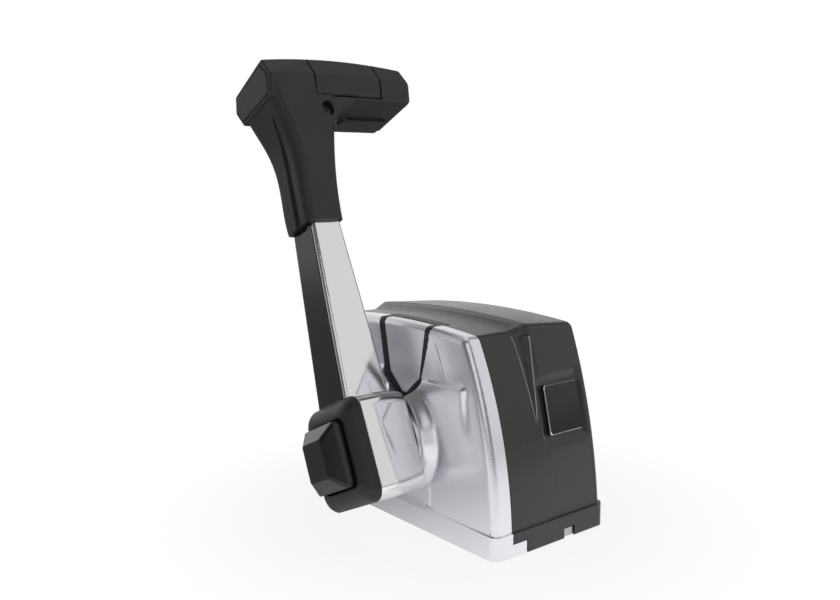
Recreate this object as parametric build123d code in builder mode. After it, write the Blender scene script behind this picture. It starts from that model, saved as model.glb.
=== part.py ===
"""Single-lever top-mount boat throttle and shift control.

Frame: origin under the base on the shaft line, +Z up, +Y towards the bow, -X is the lever side.
The lever is modelled where it stands in forward idle, leaning towards the bow.
"""
from build123d import *
from math import cos, radians, sin, sqrt
import os

os.makedirs("parts", exist_ok=True)

# ---- housing (mm) ----
half_width = 47.5        # above the skirt
aft_foot = -87.0         # operator face at the floor
bow_foot = 93.0
aft_belly = (-80.3, 64.0)
bow_belly = (88.0, 64.0)
aft_top = -57.5          # operator face at the shoulder
bow_top = 73.0
shoulder_z = 127.0
crown_z = 130.5
spine_rise = 4.0         # raised spine over the lower ledge
spine_near = -7.5        # foot of the step, on the ledge, at the operator face
spine_edge = 3.9         # crest of the step, at the operator face
spine_slant = 3.9        # the step runs out towards the lever side at the bow, degrees
spine_fall = 0.068       # the spine's top drops towards the far side, mm per mm
wall = 3.0
top_corner_r = 6.0
rim_r = 5.0              # rounded rim of both side faces
far_rim_r = 5.5
side_draft = 1.1         # lean of the lever-side wall, degrees
lever_cover_w = 13.5
seam_x = lever_cover_w - half_width   # parting plane between the two covers
seam_gap = 0.5
floor_gap = 1.0          # covers stop short of the deck
skirt_top = 15.0
skirt_proud = 1.0
skirt_corner_r = 6.0
skirt_tab_half = 29.0    # the skirt rises under the hub
skirt_tab_top = 34.0
tab_reach = 11.5         # silver foot tab across the operator face
tab_height = 7.5
notch_x = (10.5, 19.8)   # notch in the far cover for the frame's foot
notch_height = 6.5
groove_marks = [         # height, left edge x, crease x, right edge x and depth of the tapering groove
    (134.0, -8.2, -1.0, 4.4, 2.4), (104.0, -6.0, -2.6, 0.4, 1.8), (72.0, -4.4, -4.0, -3.6, 0.3)]

# ---- lever-side bosses ----
boss_half = 60.0
boss_top = 98.0
boss_rise = 3.1
boss_x = -half_width - boss_rise
boss_r = 18.0
boss_slope = 50.0        # lean of the boss's sides, degrees
hub_seat_half = 40.0
hub_seat_bottom = 14.0
hub_seat_top = 91.0
hub_seat_rise = 3.0
hub_seat_x = boss_x - hub_seat_rise
escutcheon_r = 27.0
escutcheon_t = 1.4

# ---- access panel ----
panel_top_aft = -21.0
panel_top_bow = 24.0
panel_waist = 15.0
panel_waist_z = 96.0
panel_tip_z = 84.5
panel_t = 2.4
bezel_w = 4.6
bezel_t = 2.2
bezel_flange_w = 5.0
bezel_flange_x = seam_x + bezel_flange_w   # inner edge of the flange that laps the ledge
bezel_flange_t = 1.2
panel_gap = 0.3

# ---- badge ----
badge_x = (5.5, 35.5)
badge_z = (64.0, 94.5)
badge_t = 1.6
badge_recess = 1.2
scoop_w = 5.0            # shallow scoops left and right of the badge
scoop_depth = 2.0

# ---- metal frame ----
flange_t = 4.5
gasket_t = 1.5
cover_fit = 0.3
bolt_x = 66.0
bolt_y = 140.0
bolt_r = 3.3
cable_window = (52.0, 92.0)
frame_wall_t = 6.0
near_wall_x = wall + 2.5 - half_width
far_wall_x = half_width - 21.5
bearing_boss_r = 18.0
wall_foot_half = 40.0
pivot_z = 52.0

# ---- shaft ----
shaft_r = 8.0
shaft_out = far_wall_x + 11.0
running_fit = 0.05
bush_r = 11.0
bush_flange_r = 14.0
bush_flange_t = 2.0
drum_x = near_wall_x + 11.0
drum_w = 7.0
drum_r = 14.0
drive_arm_x = drum_x + 11.0
drive_arm_t = 6.0
drive_arm_len = 32.0
drive_arm_hub_r = 14.0
drive_arm_tip_r = 7.0
cable_pin_r = 3.0
cable_pin_len = 18.0
detent_x = far_wall_x - 18.0
detent_w = 6.0
detent_r = 24.0
detent_notch_r = 3.6
detent_pitch = 25.0
roller_r = 4.0
roller_w = 8.0
circlip_t = 1.2
circlip_r = 11.0
friction_screw_r = 3.0
friction_screw_len = 26.0
friction_head_r = 5.5
friction_head_t = 4.0
shoe_t = 6.0
lug_z = 80.0
lug_t = 7.0

# ---- lever ----
lean = 25.0              # forward lean of the arm
hub_w = 58.0
hub_h = 64.0
hub_corner_r = 9.0
hub_depth = 35.6
hub_inner_x = hub_seat_x - escutcheon_t - 0.4
hub_outer_x = hub_inner_x - hub_depth
hub_flat_x = hub_outer_x + 12.0   # the hub is straight up to here, then draws in towards the housing
shaft_in = hub_outer_x + 11.0
hub_draw_in = 2.0
hub_rim_r = 2.5
hub_wall = 4.5
hub_boss_r = 15.0
arm_inner_x = hub_inner_x - 4.1
arm_foot_x = hub_outer_x - 4.4   # outer face carried down to the shaft line
arm_head_x = hub_outer_x + 9.9   # outer face at the shoulder, inside the grip
arm_foot_half = 18.4
arm_head_half = 13.9
neck_foot_v = 150.0      # the grip's neck starts here
shoulder_lap = 4.0       # and laps the arm's shoulder by this
arm_shoulder_v = neck_foot_v + shoulder_lap
tang_x = (arm_inner_x - 18.5, arm_inner_x - 2.5)
tang_half = 9.5
arm_edge_r = 2.6
insert_foot_v = 32.4
insert_top_v = arm_shoulder_v - 0.5
insert_foot_half = 14.6
insert_top_half = 10.8
insert_depth = 2.2
cap_skirt = 1.5
cap_crown_x = hub_outer_x - 9.5
cap_shoulder_x = hub_outer_x - 6.2
recess_w = 38.0
recess_h = 42.0
recess_r = 4.0
recess_floor_x = hub_outer_x - 2.6
button_gap = 1.2
button_travel = 3.5
button_base_x = recess_floor_x - button_travel - 0.5
button_edge_x = cap_crown_x - 5.5
button_face_x = button_edge_x - 7.7
button_face_w = 20.8
button_face_h = 23.4
button_stem_r = 5.0
stem_fit = 0.3
hub_screw_head_r = 7.0
hub_screw_head_t = 4.0
hub_screw_r = 4.0
hub_screw_len = 16.0

# ---- grip ----
grip_len = 119.5
grip_end_x = arm_head_x - 13.4     # lever-side end of the crossbar
grip_far_x = grip_end_x + grip_len   # far end, over the housing
grip_bottom_v = 236.0
grip_depth = 34.3        # height of the crossbar where its crown is highest
grip_crown_x = grip_end_x + 54.5
grip_end_drop = 4.2      # the top falls by this to either end
grip_far_drop = 3.8
grip_edge_r = 3.0
neck_wall_gap = 0.15
end_panel_t = 2.4
panel_seam = 0.6
face_panel_x = (grip_end_x + 35.7, grip_end_x + 91.5)
face_panel_t = 2.4
face_panel_foot = 3.6    # lower edge of the face panel over the crossbar's underside
face_panel_lap = 3.0     # and its reach over the top edge
grip_screw_x = grip_end_x + 42.5
grip_screw_v = grip_bottom_v - 6.5
grip_screw_u = -18.6
grip_screw_recess_r = 5.3
grip_screw_head_r = 4.0
grip_screw_len = 16.0
grip_screw_r = 1.8
trigger_x = (grip_far_x - 48.0, grip_far_x - 7.0)
trigger_u = (3.0, 20.0)
trigger_bottom_v = grip_bottom_v - 2.2
trigger_t = 4.4
trigger_travel = 3.0
trigger_fit = 0.35
rod_r = 2.5
rod_x = arm_inner_x - 9.5
rod_u = 4.0
rod_fit = 0.5
rod_foot_v = 40.0
tang_top = grip_bottom_v - 21.0

V = Vector(0, sin(radians(lean)), cos(radians(lean)))
U = Vector(0, cos(radians(lean)), -sin(radians(lean)))
across = Plane(origin=(0, 0, pivot_z), x_dir=(1, 0, 0), z_dir=V)   # local x, u; offset along the arm
beside = Plane(origin=(0, 0, pivot_z), x_dir=U, z_dir=(1, 0, 0))   # local u, v; offset along the shaft


def side_outline(rise=0.0, inset=0.0):
    """Side view of the housing: sloped operator face, crowned top and steeper bow face."""
    with BuildSketch() as outline:
        with BuildLine():
            ThreePointArc((aft_foot, floor_gap), aft_belly, (aft_top - rise, shoulder_z + rise))
            ThreePointArc((aft_top - rise, shoulder_z + rise), (8, crown_z + rise),
                          (bow_top + rise, shoulder_z + rise))
            ThreePointArc((bow_top + rise, shoulder_z + rise), bow_belly, (bow_foot, floor_gap))
            Line((bow_foot, floor_gap), (aft_foot, floor_gap))
        make_face()
        fillet(outline.vertices().group_by(Axis.Y)[-1], top_corner_r)
        if inset:
            offset(amount=-inset, mode=Mode.REPLACE)
    return outline.sketch


def skirt_outline(grow=0.0):
    """Plan of the skirt at the foot of the covers."""
    with BuildSketch() as outline:
        with Locations((0, (aft_foot + bow_foot) / 2)):
            RectangleRounded(2 * (half_width + skirt_proud + grow),
                             bow_foot - aft_foot + 2 * (skirt_proud + grow), skirt_corner_r)
    return outline.sketch


aft_face = ThreePointArc((aft_foot, floor_gap), aft_belly, (aft_top - spine_rise, shoulder_z + spine_rise))


def face_y(z):
    """Where the operator face stands at height z."""
    return aft_face.arc_center.X - sqrt(aft_face.radius ** 2 - (z - aft_face.arc_center.Y) ** 2)


side_wall = Plane(origin=(-half_width, 0, 0), x_dir=(0, 1, 0),
                  z_dir=(-cos(radians(side_draft)), 0, sin(radians(side_draft))))
pivot_side = Plane(origin=(0, 0, pivot_z), x_dir=(0, 1, 0), z_dir=(1, 0, 0))

# ---- far cover: black moulding with ledge, step and raised spine ----
def step_plane(x):
    """Upright plane along the step: x at the operator face, slanting towards the lever side at the bow."""
    turn = radians(spine_slant)
    return Plane(origin=(x + aft_top * sin(turn) / cos(turn), 0, 0), x_dir=(-sin(turn), cos(turn), 0),
                 z_dir=(cos(turn), sin(turn), 0))


with BuildPart() as main_cavity:
    with BuildSketch(Plane.YZ.offset(seam_x)):
        add(side_outline(inset=wall))
    extrude(amount=half_width - wall - seam_x)
    # straight down from the inner foot, so that the cover is open underneath
    with BuildSketch(Plane.XY.offset(floor_gap + wall + 1)):
        with Locations(((half_width - wall + seam_x) / 2, (aft_foot + bow_foot) / 2)):
            Rectangle(half_width - wall - seam_x, bow_foot - aft_foot - 2 * wall)
    extrude(amount=-floor_gap - wall - 2)

with BuildPart() as main_cover:
    with BuildSketch(step_plane(spine_near)):
        add(side_outline())
    extrude(amount=-2 * seam_x, dir=(-1, 0, 0))
    with BuildSketch(step_plane(spine_near)):
        add(side_outline())
    with BuildSketch(step_plane(spine_edge)):
        add(side_outline(spine_rise))
    loft(ruled=True)
    with BuildSketch(step_plane(spine_edge)):
        add(side_outline(spine_rise))
    extrude(amount=2 * half_width, dir=(1, 0, -spine_fall))
    split(bisect_by=Plane.YZ.offset(half_width), keep=Keep.BOTTOM)
    split(bisect_by=Plane.XY.offset(floor_gap), keep=Keep.TOP)
    fillet(main_cover.faces().sort_by(Axis.X)[-1].edges()
           .filter_by(lambda e: e.center().Z > floor_gap + 1), far_rim_r)
    with BuildSketch(Plane.XY.offset(floor_gap)):
        add(skirt_outline())
    extrude(amount=skirt_top - floor_gap)
    split(bisect_by=Plane.YZ.offset(seam_x + seam_gap), keep=Keep.TOP)
    add(main_cavity.part, mode=Mode.SUBTRACT)
    # foot notch and the corner left for the lever-side cover's foot tab
    with BuildSketch(Plane.XZ.offset(-aft_foot - 10)):
        with Locations(((notch_x[0] + notch_x[1]) / 2, floor_gap)):
            Rectangle(notch_x[1] - notch_x[0], 2 * notch_height)
        with Locations((seam_x, floor_gap)):
            Rectangle(2 * (tab_reach + 2 * seam_gap), 2 * (tab_height + seam_gap))
    extrude(amount=20, mode=Mode.SUBTRACT)
    # recess for the square badge, square to the operator face
    badge_mid_z = sum(badge_z) / 2
    badge_seat = Plane(origin=(sum(badge_x) / 2, face_y(badge_mid_z), badge_mid_z), x_dir=(1, 0, 0),
                       z_dir=(0, face_y(badge_mid_z) - aft_face.arc_center.X,
                              badge_mid_z - aft_face.arc_center.Y))
    with BuildSketch(badge_seat.offset(-badge_recess)):
        RectangleRounded(badge_x[1] - badge_x[0] + 2 * seam_gap, badge_z[1] - badge_z[0] + 2 * seam_gap, 2.5)
    extrude(amount=12, mode=Mode.SUBTRACT)
    for side in (-1, 1):
        with BuildSketch(badge_seat.offset(-badge_recess)):
            with Locations((side * (badge_x[1] - badge_x[0]) / 2, 0)):
                Rectangle(2 * seam_gap, badge_z[1] - badge_z[0])
        with BuildSketch(badge_seat.offset(scoop_depth)):
            with Locations((side * ((badge_x[1] - badge_x[0]) / 2 + scoop_w / 2), 0)):
                Rectangle(2 * scoop_w, badge_z[1] - badge_z[0] + 3)
        loft(ruled=True, mode=Mode.SUBTRACT)
    # tapering groove where the step runs down the operator face
    for z, left, crease, right, depth in groove_marks:
        with BuildSketch(Plane.XY.offset(z)):
            with BuildLine():
                Polyline((left, face_y(z) - 6), (left, face_y(z) + depth / 3), (crease, face_y(z) + depth),
                         (right, face_y(z)), (right, face_y(z) - 6), close=True)
            make_face()
    loft(ruled=True, mode=Mode.SUBTRACT)
    # shallow seat in the ledge for the bezel flange
    with BuildSketch(Plane.YZ.offset(seam_x)):
        add(side_outline(inset=-1.0))
        add(side_outline(inset=bezel_flange_t), mode=Mode.SUBTRACT)
        with Locations(((panel_top_aft + panel_top_bow) / 2, crown_z)):
            Rectangle(panel_top_bow - panel_top_aft + 2 * (bezel_w + panel_gap), 20, mode=Mode.INTERSECT)
    extrude(amount=bezel_flange_x + panel_gap - seam_x, mode=Mode.SUBTRACT)
    # far end of the shaft runs in the frame; the cover carries a blind dimple for it
    with BuildSketch(pivot_side.offset(half_width - wall - 0.5)):
        Circle(circlip_r)
    extrude(amount=-2, mode=Mode.SUBTRACT)

with BuildPart() as badge_plate:
    with BuildSketch(badge_seat.offset(-badge_recess)):
        RectangleRounded(badge_x[1] - badge_x[0], badge_z[1] - badge_z[0], 2.0)
    extrude(amount=badge_t)
    chamfer(badge_plate.faces().sort_by(Axis(badge_seat.origin, badge_seat.z_dir))[-1].edges(), 0.5)

# ---- access panel outline on the lever side, shared by the panel, its bezel and the cover ----
def panel_outline(grow=0.0):
    with BuildSketch() as outline:
        with BuildLine():
            Polyline((panel_top_aft, shoulder_z + 8), (-panel_waist, panel_waist_z), (-2, panel_tip_z),
                     (2, panel_tip_z), (panel_waist, panel_waist_z), (panel_top_bow, shoulder_z + 8),
                     close=True)
        make_face()
        if grow:
            offset(amount=grow, kind=Kind.INTERSECTION)
    return outline.sketch


# ---- lever-side cover: silver moulding with skirt, bosses and panel opening ----
with BuildPart() as side_cavity:
    with BuildSketch(Plane.YZ.offset(seam_x + 1)):
        add(side_outline(inset=wall))
    extrude(amount=-lever_cover_w - 6)
    split(bisect_by=side_wall.offset(-wall), keep=Keep.BOTTOM)
    extrude(side_cavity.faces().sort_by(Axis.Z)[0], amount=floor_gap + wall + 1)

with BuildPart() as side_cover:
    with BuildSketch(Plane.YZ.offset(seam_x)):
        add(side_outline())
    extrude(amount=-lever_cover_w - 6)
    split(bisect_by=side_wall, keep=Keep.BOTTOM)
    fillet(side_cover.faces().sort_by(Axis(side_wall.origin, side_wall.z_dir))[-1].edges()
           .filter_by(lambda e: e.center().Z > floor_gap + 1), rim_r)
    with BuildSketch(Plane.XY.offset(floor_gap)):
        add(skirt_outline())
    extrude(amount=skirt_top - floor_gap)
    split(bisect_by=Plane.YZ.offset(seam_x), keep=Keep.BOTTOM)
    # skirt tab under the hub, boss fairing and hub seat
    with BuildSketch(Plane.YZ.offset(-half_width - skirt_proud)):
        with Locations((0, skirt_tab_top / 2 + floor_gap)):
            RectangleRounded(2 * skirt_tab_half, skirt_tab_top, 5)
    extrude(amount=6)
    with BuildSketch(Plane.YZ.offset(-half_width + 2)):
        with Locations((0, (boss_top + skirt_top) / 2)):
            RectangleRounded(2 * boss_half + 2, boss_top - skirt_top + 2, boss_r)
    extrude(amount=boss_x + half_width - 2, taper=boss_slope)
    with BuildSketch(Plane.YZ.offset(boss_x + 2)):
        with Locations((0, (hub_seat_top + hub_seat_bottom) / 2)):
            RectangleRounded(2 * hub_seat_half, hub_seat_top - hub_seat_bottom, boss_r)
    extrude(amount=hub_seat_x - boss_x - 2, taper=boss_slope)
    add(side_cavity.part, mode=Mode.SUBTRACT)
    # openings for the bezel and the shaft
    with BuildSketch(Plane.YZ.offset(-half_width - 10)):
        add(panel_outline(bezel_w + panel_gap))
    extrude(amount=half_width + 10 + seam_x, mode=Mode.SUBTRACT)
    with BuildSketch(pivot_side.offset(hub_seat_x - 1)):
        Circle(bush_flange_r + 2)
    extrude(amount=20, mode=Mode.SUBTRACT)
    # foot tab that wraps under the far cover's corner
    with BuildSketch(Plane.YZ.offset(seam_x)):
        with Locations((aft_foot - skirt_proud + wall / 2, floor_gap + tab_height / 2)):
            Rectangle(wall, tab_height)
    extrude(amount=tab_reach)

# ---- bezel: V frame in the side wall with a flange lapped on the ledge ----
with BuildPart() as bezel_core:
    with BuildSketch(Plane.YZ.offset(seam_x)):
        add(side_outline(inset=bezel_t))
    extrude(amount=-30)
    split(bisect_by=side_wall.offset(-bezel_t), keep=Keep.BOTTOM)

with BuildPart() as access_bezel:
    with BuildSketch(Plane.YZ.offset(bezel_flange_x)):
        add(side_outline())
    extrude(amount=-30)
    split(bisect_by=side_wall.offset(-0.2), keep=Keep.BOTTOM)
    fillet(access_bezel.faces().sort_by(Axis(side_wall.origin, side_wall.z_dir))[-1].edges()
           .filter_by(lambda e: e.center().Z > floor_gap + 1), rim_r - 1)
    add(bezel_core.part, mode=Mode.SUBTRACT)
    with BuildSketch(Plane.YZ.offset(seam_x)):
        add(side_outline(inset=bezel_flange_t - 0.05))
    extrude(amount=bezel_flange_x - seam_x, mode=Mode.SUBTRACT)
    with BuildSketch(Plane.YZ.offset(-half_width - 10)):
        add(panel_outline(bezel_w))
    extrude(amount=60, mode=Mode.INTERSECT)
    with BuildSketch(Plane.YZ.offset(-half_width - 10)):
        add(panel_outline(panel_gap))
    extrude(amount=half_width + 10 + seam_x - 2, mode=Mode.SUBTRACT)

with BuildPart() as panel_core:
    with BuildSketch(Plane.YZ.offset(seam_x)):
        add(side_outline(inset=panel_t))
    extrude(amount=-30)
    split(bisect_by=side_wall.offset(-panel_t), keep=Keep.BOTTOM)

with BuildPart() as access_panel:
    with BuildSketch(Plane.YZ.offset(seam_x - 2 - panel_gap)):
        add(side_outline(inset=0.4))
    extrude(amount=-30)
    split(bisect_by=side_wall.offset(-0.6), keep=Keep.BOTTOM)
    fillet(access_panel.faces().sort_by(Axis(side_wall.origin, side_wall.z_dir))[-1].edges()
           .filter_by(lambda e: e.center().Z > floor_gap + 1), rim_r - 1)
    add(panel_core.part, mode=Mode.SUBTRACT)
    with BuildSketch(Plane.YZ.offset(-half_width - 10)):
        add(panel_outline())
    extrude(amount=60, mode=Mode.INTERSECT)

with BuildPart() as hub_escutcheon:
    with BuildSketch(pivot_side.offset(hub_seat_x)):
        Circle(escutcheon_r)
        Circle(shaft_r + 1.0, mode=Mode.SUBTRACT)
    extrude(amount=-escutcheon_t)
    chamfer(hub_escutcheon.faces().sort_by(Axis.X)[0].edges(), 0.5)

# ---- cast frame: flange, two bearing walls and the foot tab ----
flange_top = gasket_t + flange_t
mid_y = (aft_foot + bow_foot) / 2
with BuildPart() as base_frame:
    with BuildSketch(Plane.XY.offset(gasket_t)):
        with Locations((0, mid_y)):
            RectangleRounded(2 * (half_width - wall - cover_fit),
                             bow_foot - aft_foot - 2 * (wall + cover_fit), 4)
        Rectangle(*cable_window, mode=Mode.SUBTRACT)
        with GridLocations(bolt_x, bolt_y, 2, 2):
            Circle(bolt_r, mode=Mode.SUBTRACT)
    extrude(amount=flange_t)
    with BuildSketch(Plane.YZ.offset(near_wall_x), Plane.YZ.offset(far_wall_x)):
        with BuildLine():
            Polyline((-wall_foot_half, flange_top - 1), (-bearing_boss_r, pivot_z), (bearing_boss_r, pivot_z),
                     (wall_foot_half, flange_top - 1), close=True)
        make_face()
        with Locations((0, pivot_z)):
            Circle(bearing_boss_r)
            Circle(bush_r, mode=Mode.SUBTRACT)
    extrude(amount=frame_wall_t)
    # lug over the friction drum
    with BuildSketch(Plane.YZ.offset(near_wall_x)):
        with BuildLine():
            Polyline((-12, pivot_z + 10), (-9, lug_z + lug_t), (9, lug_z + lug_t), (12, pivot_z + 10),
                     close=True)
        make_face()
        with Locations((0, pivot_z)):
            Circle(bush_r + 3, mode=Mode.SUBTRACT)
    extrude(amount=frame_wall_t)
    with BuildSketch(Plane.XY.offset(lug_z)):
        with Locations(((near_wall_x + drum_x + drum_w) / 2, 0)):
            Rectangle(drum_x + drum_w - near_wall_x, 18)
        with Locations((drum_x + drum_w / 2, 0)):
            Circle(friction_screw_r, mode=Mode.SUBTRACT)
    extrude(amount=lug_t)
    # foot tab that shows in the notch of the far cover
    with BuildSketch(Plane.XY.offset(gasket_t)):
        with Locations(((notch_x[0] + notch_x[1]) / 2, aft_foot + (wall + cover_fit) / 2 + 1)):
            Rectangle(notch_x[1] - notch_x[0] - 1.4, wall + cover_fit + 2)
    extrude(amount=notch_height - 1.6)

with BuildPart() as base_gasket:
    with BuildSketch(Plane.XY):
        with Locations((0, mid_y)):
            RectangleRounded(2 * (half_width - wall - cover_fit),
                             bow_foot - aft_foot - 2 * (wall + cover_fit), 4)
        Rectangle(*cable_window, mode=Mode.SUBTRACT)
        with GridLocations(bolt_x, bolt_y, 2, 2):
            Circle(bolt_r, mode=Mode.SUBTRACT)
    extrude(amount=gasket_t)

# ---- bushes: flange on the inner side of each bearing wall ----
with BuildPart() as near_bush:
    with BuildSketch(pivot_side.offset(near_wall_x)):
        Circle(bush_r)
    extrude(amount=frame_wall_t)
    with BuildSketch(pivot_side.offset(near_wall_x)):
        Circle(bush_flange_r)
    extrude(amount=-bush_flange_t)
    with BuildSketch(pivot_side.offset(near_wall_x - bush_flange_t)):
        Circle(shaft_r + running_fit)
    extrude(amount=frame_wall_t + bush_flange_t, mode=Mode.SUBTRACT)

with BuildPart() as far_bush:
    with BuildSketch(pivot_side.offset(far_wall_x)):
        Circle(bush_r)
    extrude(amount=frame_wall_t)
    with BuildSketch(pivot_side.offset(far_wall_x + frame_wall_t)):
        Circle(bush_flange_r)
    extrude(amount=bush_flange_t)
    with BuildSketch(pivot_side.offset(far_wall_x)):
        Circle(shaft_r + running_fit)
    extrude(amount=frame_wall_t + bush_flange_t, mode=Mode.SUBTRACT)

# ---- shaft line ----
circlip_x = far_wall_x + frame_wall_t + bush_flange_t + 0.3
with BuildPart() as main_shaft:
    with BuildSketch(beside.offset(shaft_in)):
        Circle(shaft_r)
    extrude(amount=shaft_out - shaft_in)
    with BuildSketch(beside.offset(circlip_x)):
        Circle(shaft_r)
        Circle(shaft_r - 0.8, mode=Mode.SUBTRACT)
    extrude(amount=circlip_t, mode=Mode.SUBTRACT)
    with BuildSketch(beside.offset(shaft_in)):
        Circle(hub_screw_r)
    extrude(amount=hub_screw_len, mode=Mode.SUBTRACT)
    chamfer(main_shaft.faces().sort_by(Axis.X)[-1].edges(), 0.8)

with BuildPart() as shaft_circlip:
    with BuildSketch(beside.offset(circlip_x)):
        Circle(circlip_r)
        Circle(shaft_r - 0.8, mode=Mode.SUBTRACT)
        with Locations((0, -circlip_r)):
            Rectangle(7, 12, mode=Mode.SUBTRACT)
    extrude(amount=circlip_t)

with BuildPart() as friction_drum:
    with BuildSketch(beside.offset(drum_x)):
        Circle(drum_r)
        Circle(shaft_r, mode=Mode.SUBTRACT)
    extrude(amount=drum_w)

with BuildPart() as drive_arm:
    with BuildSketch(beside.offset(drive_arm_x)):
        Circle(drive_arm_hub_r)
        with Locations((0, -drive_arm_len)):
            Circle(drive_arm_tip_r)
        make_hull()
        Circle(shaft_r, mode=Mode.SUBTRACT)
        with Locations((0, -drive_arm_len)):
            Circle(cable_pin_r, mode=Mode.SUBTRACT)
    extrude(amount=drive_arm_t)
    fillet(drive_arm.edges().filter_by(GeomType.LINE).filter_by(
        lambda e: abs(e.center().X - drive_arm_x - drive_arm_t / 2) > 1), 1.0)

with BuildPart() as cable_pin:
    with BuildSketch(beside.offset(drive_arm_x - 1)):
        with Locations((0, -drive_arm_len)):
            Circle(cable_pin_r)
    extrude(amount=cable_pin_len)
    with BuildSketch(beside.offset(drive_arm_x - 3)):
        with Locations((0, -drive_arm_len)):
            Circle(cable_pin_r + 2)
    extrude(amount=3)

with BuildPart() as detent_wheel:
    with BuildSketch(beside.offset(detent_x)):
        Circle(detent_r)
        Circle(shaft_r, mode=Mode.SUBTRACT)
        # notches for ahead, neutral and astern, under the shaft when each is selected
        with Locations(*[(detent_r * sin(radians(a - lean)), -detent_r * cos(radians(a - lean)))
                         for a in (0, detent_pitch, 2 * detent_pitch)]):
            Circle(detent_notch_r, mode=Mode.SUBTRACT)
    extrude(amount=detent_w)

roller_z = pivot_z - detent_r - 0.3 - roller_r
with BuildPart() as detent_roller:
    with BuildSketch(Plane.YZ.offset(detent_x + (detent_w - roller_w) / 2)):
        with Locations((0, roller_z)):
            Circle(roller_r)
    extrude(amount=roller_w)

with BuildPart() as detent_spring:
    with BuildSketch(Plane.YZ.offset(detent_x + (detent_w - roller_w) / 2 - 1)):
        with BuildLine():
            FilletPolyline((cable_window[1] / 2 + 20, flange_top + 0.75),
                           (cable_window[1] / 2 + 6, flange_top + 0.75),
                           (12, roller_z - roller_r - 0.85), (-7, roller_z - roller_r - 0.85), radius=3)
        trace(line_width=1.5)
    extrude(amount=roller_w + 2)

with BuildPart() as friction_shoe:
    with BuildSketch(Plane.YZ.offset(drum_x + 0.5)):
        with Locations((0, pivot_z + drum_r + shoe_t / 2 - 1.5)):
            Rectangle(16, shoe_t + 3)
        with Locations((0, pivot_z)):
            Circle(drum_r + running_fit, mode=Mode.SUBTRACT)
    extrude(amount=drum_w - 1)

with BuildPart() as friction_screw:
    screw_foot = pivot_z + drum_r + shoe_t
    with BuildSketch(Plane.XY.offset(screw_foot)):
        with Locations((drum_x + drum_w / 2, 0)):
            Circle(friction_screw_r)
    extrude(amount=friction_screw_len)
    with BuildSketch(Plane.XY.offset(screw_foot + friction_screw_len)):
        with Locations((drum_x + drum_w / 2, 0)):
            RegularPolygon(friction_head_r, 6)
    extrude(amount=friction_head_t)

# ---- lever: hub and tapered arm in one casting ----
def arm_section(v, outer_x, half):
    with BuildSketch(across.offset(v)) as section:
        with Locations(((outer_x + arm_inner_x) / 2, 0)):
            Rectangle(arm_inner_x - outer_x, 2 * half)
    return section


def insert_section(v, grow=0.0):
    share = v / arm_shoulder_v
    outer = arm_foot_x + (arm_head_x - arm_foot_x) * share
    half = insert_foot_half + (insert_top_half - insert_foot_half) * (v - insert_foot_v) / (
        insert_top_v - insert_foot_v)
    with BuildSketch(across.offset(v)) as section:
        with Locations((outer + insert_depth / 2 - 0.2, 0)):
            Rectangle(insert_depth + 0.4, 2 * half)
    return section


with BuildPart() as lever_arm:
    add(arm_section(0, arm_foot_x, arm_foot_half).sketch)
    add(arm_section(arm_shoulder_v, arm_head_x, arm_head_half).sketch)
    loft(ruled=True)
    fillet(lever_arm.edges().filter_by(lambda e: e.length > arm_shoulder_v * 0.9), arm_edge_r)
    with BuildSketch(across.offset(arm_shoulder_v)):
        with Locations((sum(tang_x) / 2, 0)):
            RectangleRounded(tang_x[1] - tang_x[0], 2 * tang_half, 2)
    extrude(amount=tang_top - arm_shoulder_v)
    with BuildSketch(beside.offset(hub_outer_x)):
        RectangleRounded(hub_w, hub_h, hub_corner_r)
    extrude(amount=hub_flat_x - hub_outer_x)
    with BuildSketch(beside.offset(hub_flat_x)):
        RectangleRounded(hub_w, hub_h, hub_corner_r)
    with BuildSketch(beside.offset((hub_flat_x + hub_inner_x) / 2)):
        RectangleRounded(hub_w - hub_draw_in / 2, hub_h - hub_draw_in / 2, hub_corner_r)
    with BuildSketch(beside.offset(hub_inner_x)):
        RectangleRounded(hub_w - 2 * hub_draw_in, hub_h - 2 * hub_draw_in, hub_corner_r)
    loft()
    # the arm's foot is cut back where the cap sits
    with BuildSketch(beside.offset(hub_outer_x)):
        Rectangle(hub_w, hub_h + 0.2)
    extrude(amount=-20, mode=Mode.SUBTRACT)
    fillet(lever_arm.faces().sort_by(Axis.X)[-1].edges(), hub_rim_r)
    add(insert_section(insert_foot_v).sketch)
    add(insert_section(insert_top_v).sketch)
    loft(ruled=True, mode=Mode.SUBTRACT)
    # the casting is cored out behind the cap, round a solid boss for the shaft
    with BuildSketch(beside.offset(hub_outer_x)):
        RectangleRounded(hub_w - 2 * hub_wall, hub_h - 2 * hub_wall, hub_corner_r - hub_wall)
        Circle(hub_boss_r, mode=Mode.SUBTRACT)
    extrude(amount=hub_inner_x - hub_outer_x - hub_wall, mode=Mode.SUBTRACT)
    # shaft bore, clamp-screw seat and the way down for the lock rod
    with BuildSketch(beside.offset(hub_inner_x)):
        Circle(shaft_r)
    extrude(amount=shaft_in - hub_inner_x, mode=Mode.SUBTRACT)
    with BuildSketch(beside.offset(hub_outer_x)):
        Circle(hub_screw_head_r + 0.5)
    extrude(amount=shaft_in - hub_outer_x, mode=Mode.SUBTRACT)
    with BuildSketch(across.offset(rod_foot_v - trigger_travel)):
        with Locations((rod_x, rod_u)):
            Circle(rod_r + rod_fit)
    extrude(amount=tang_top - rod_foot_v + trigger_travel, mode=Mode.SUBTRACT)

with BuildPart() as arm_insert:
    add(insert_section(insert_foot_v).sketch)
    add(insert_section(insert_top_v).sketch)
    loft(ruled=True)

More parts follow.
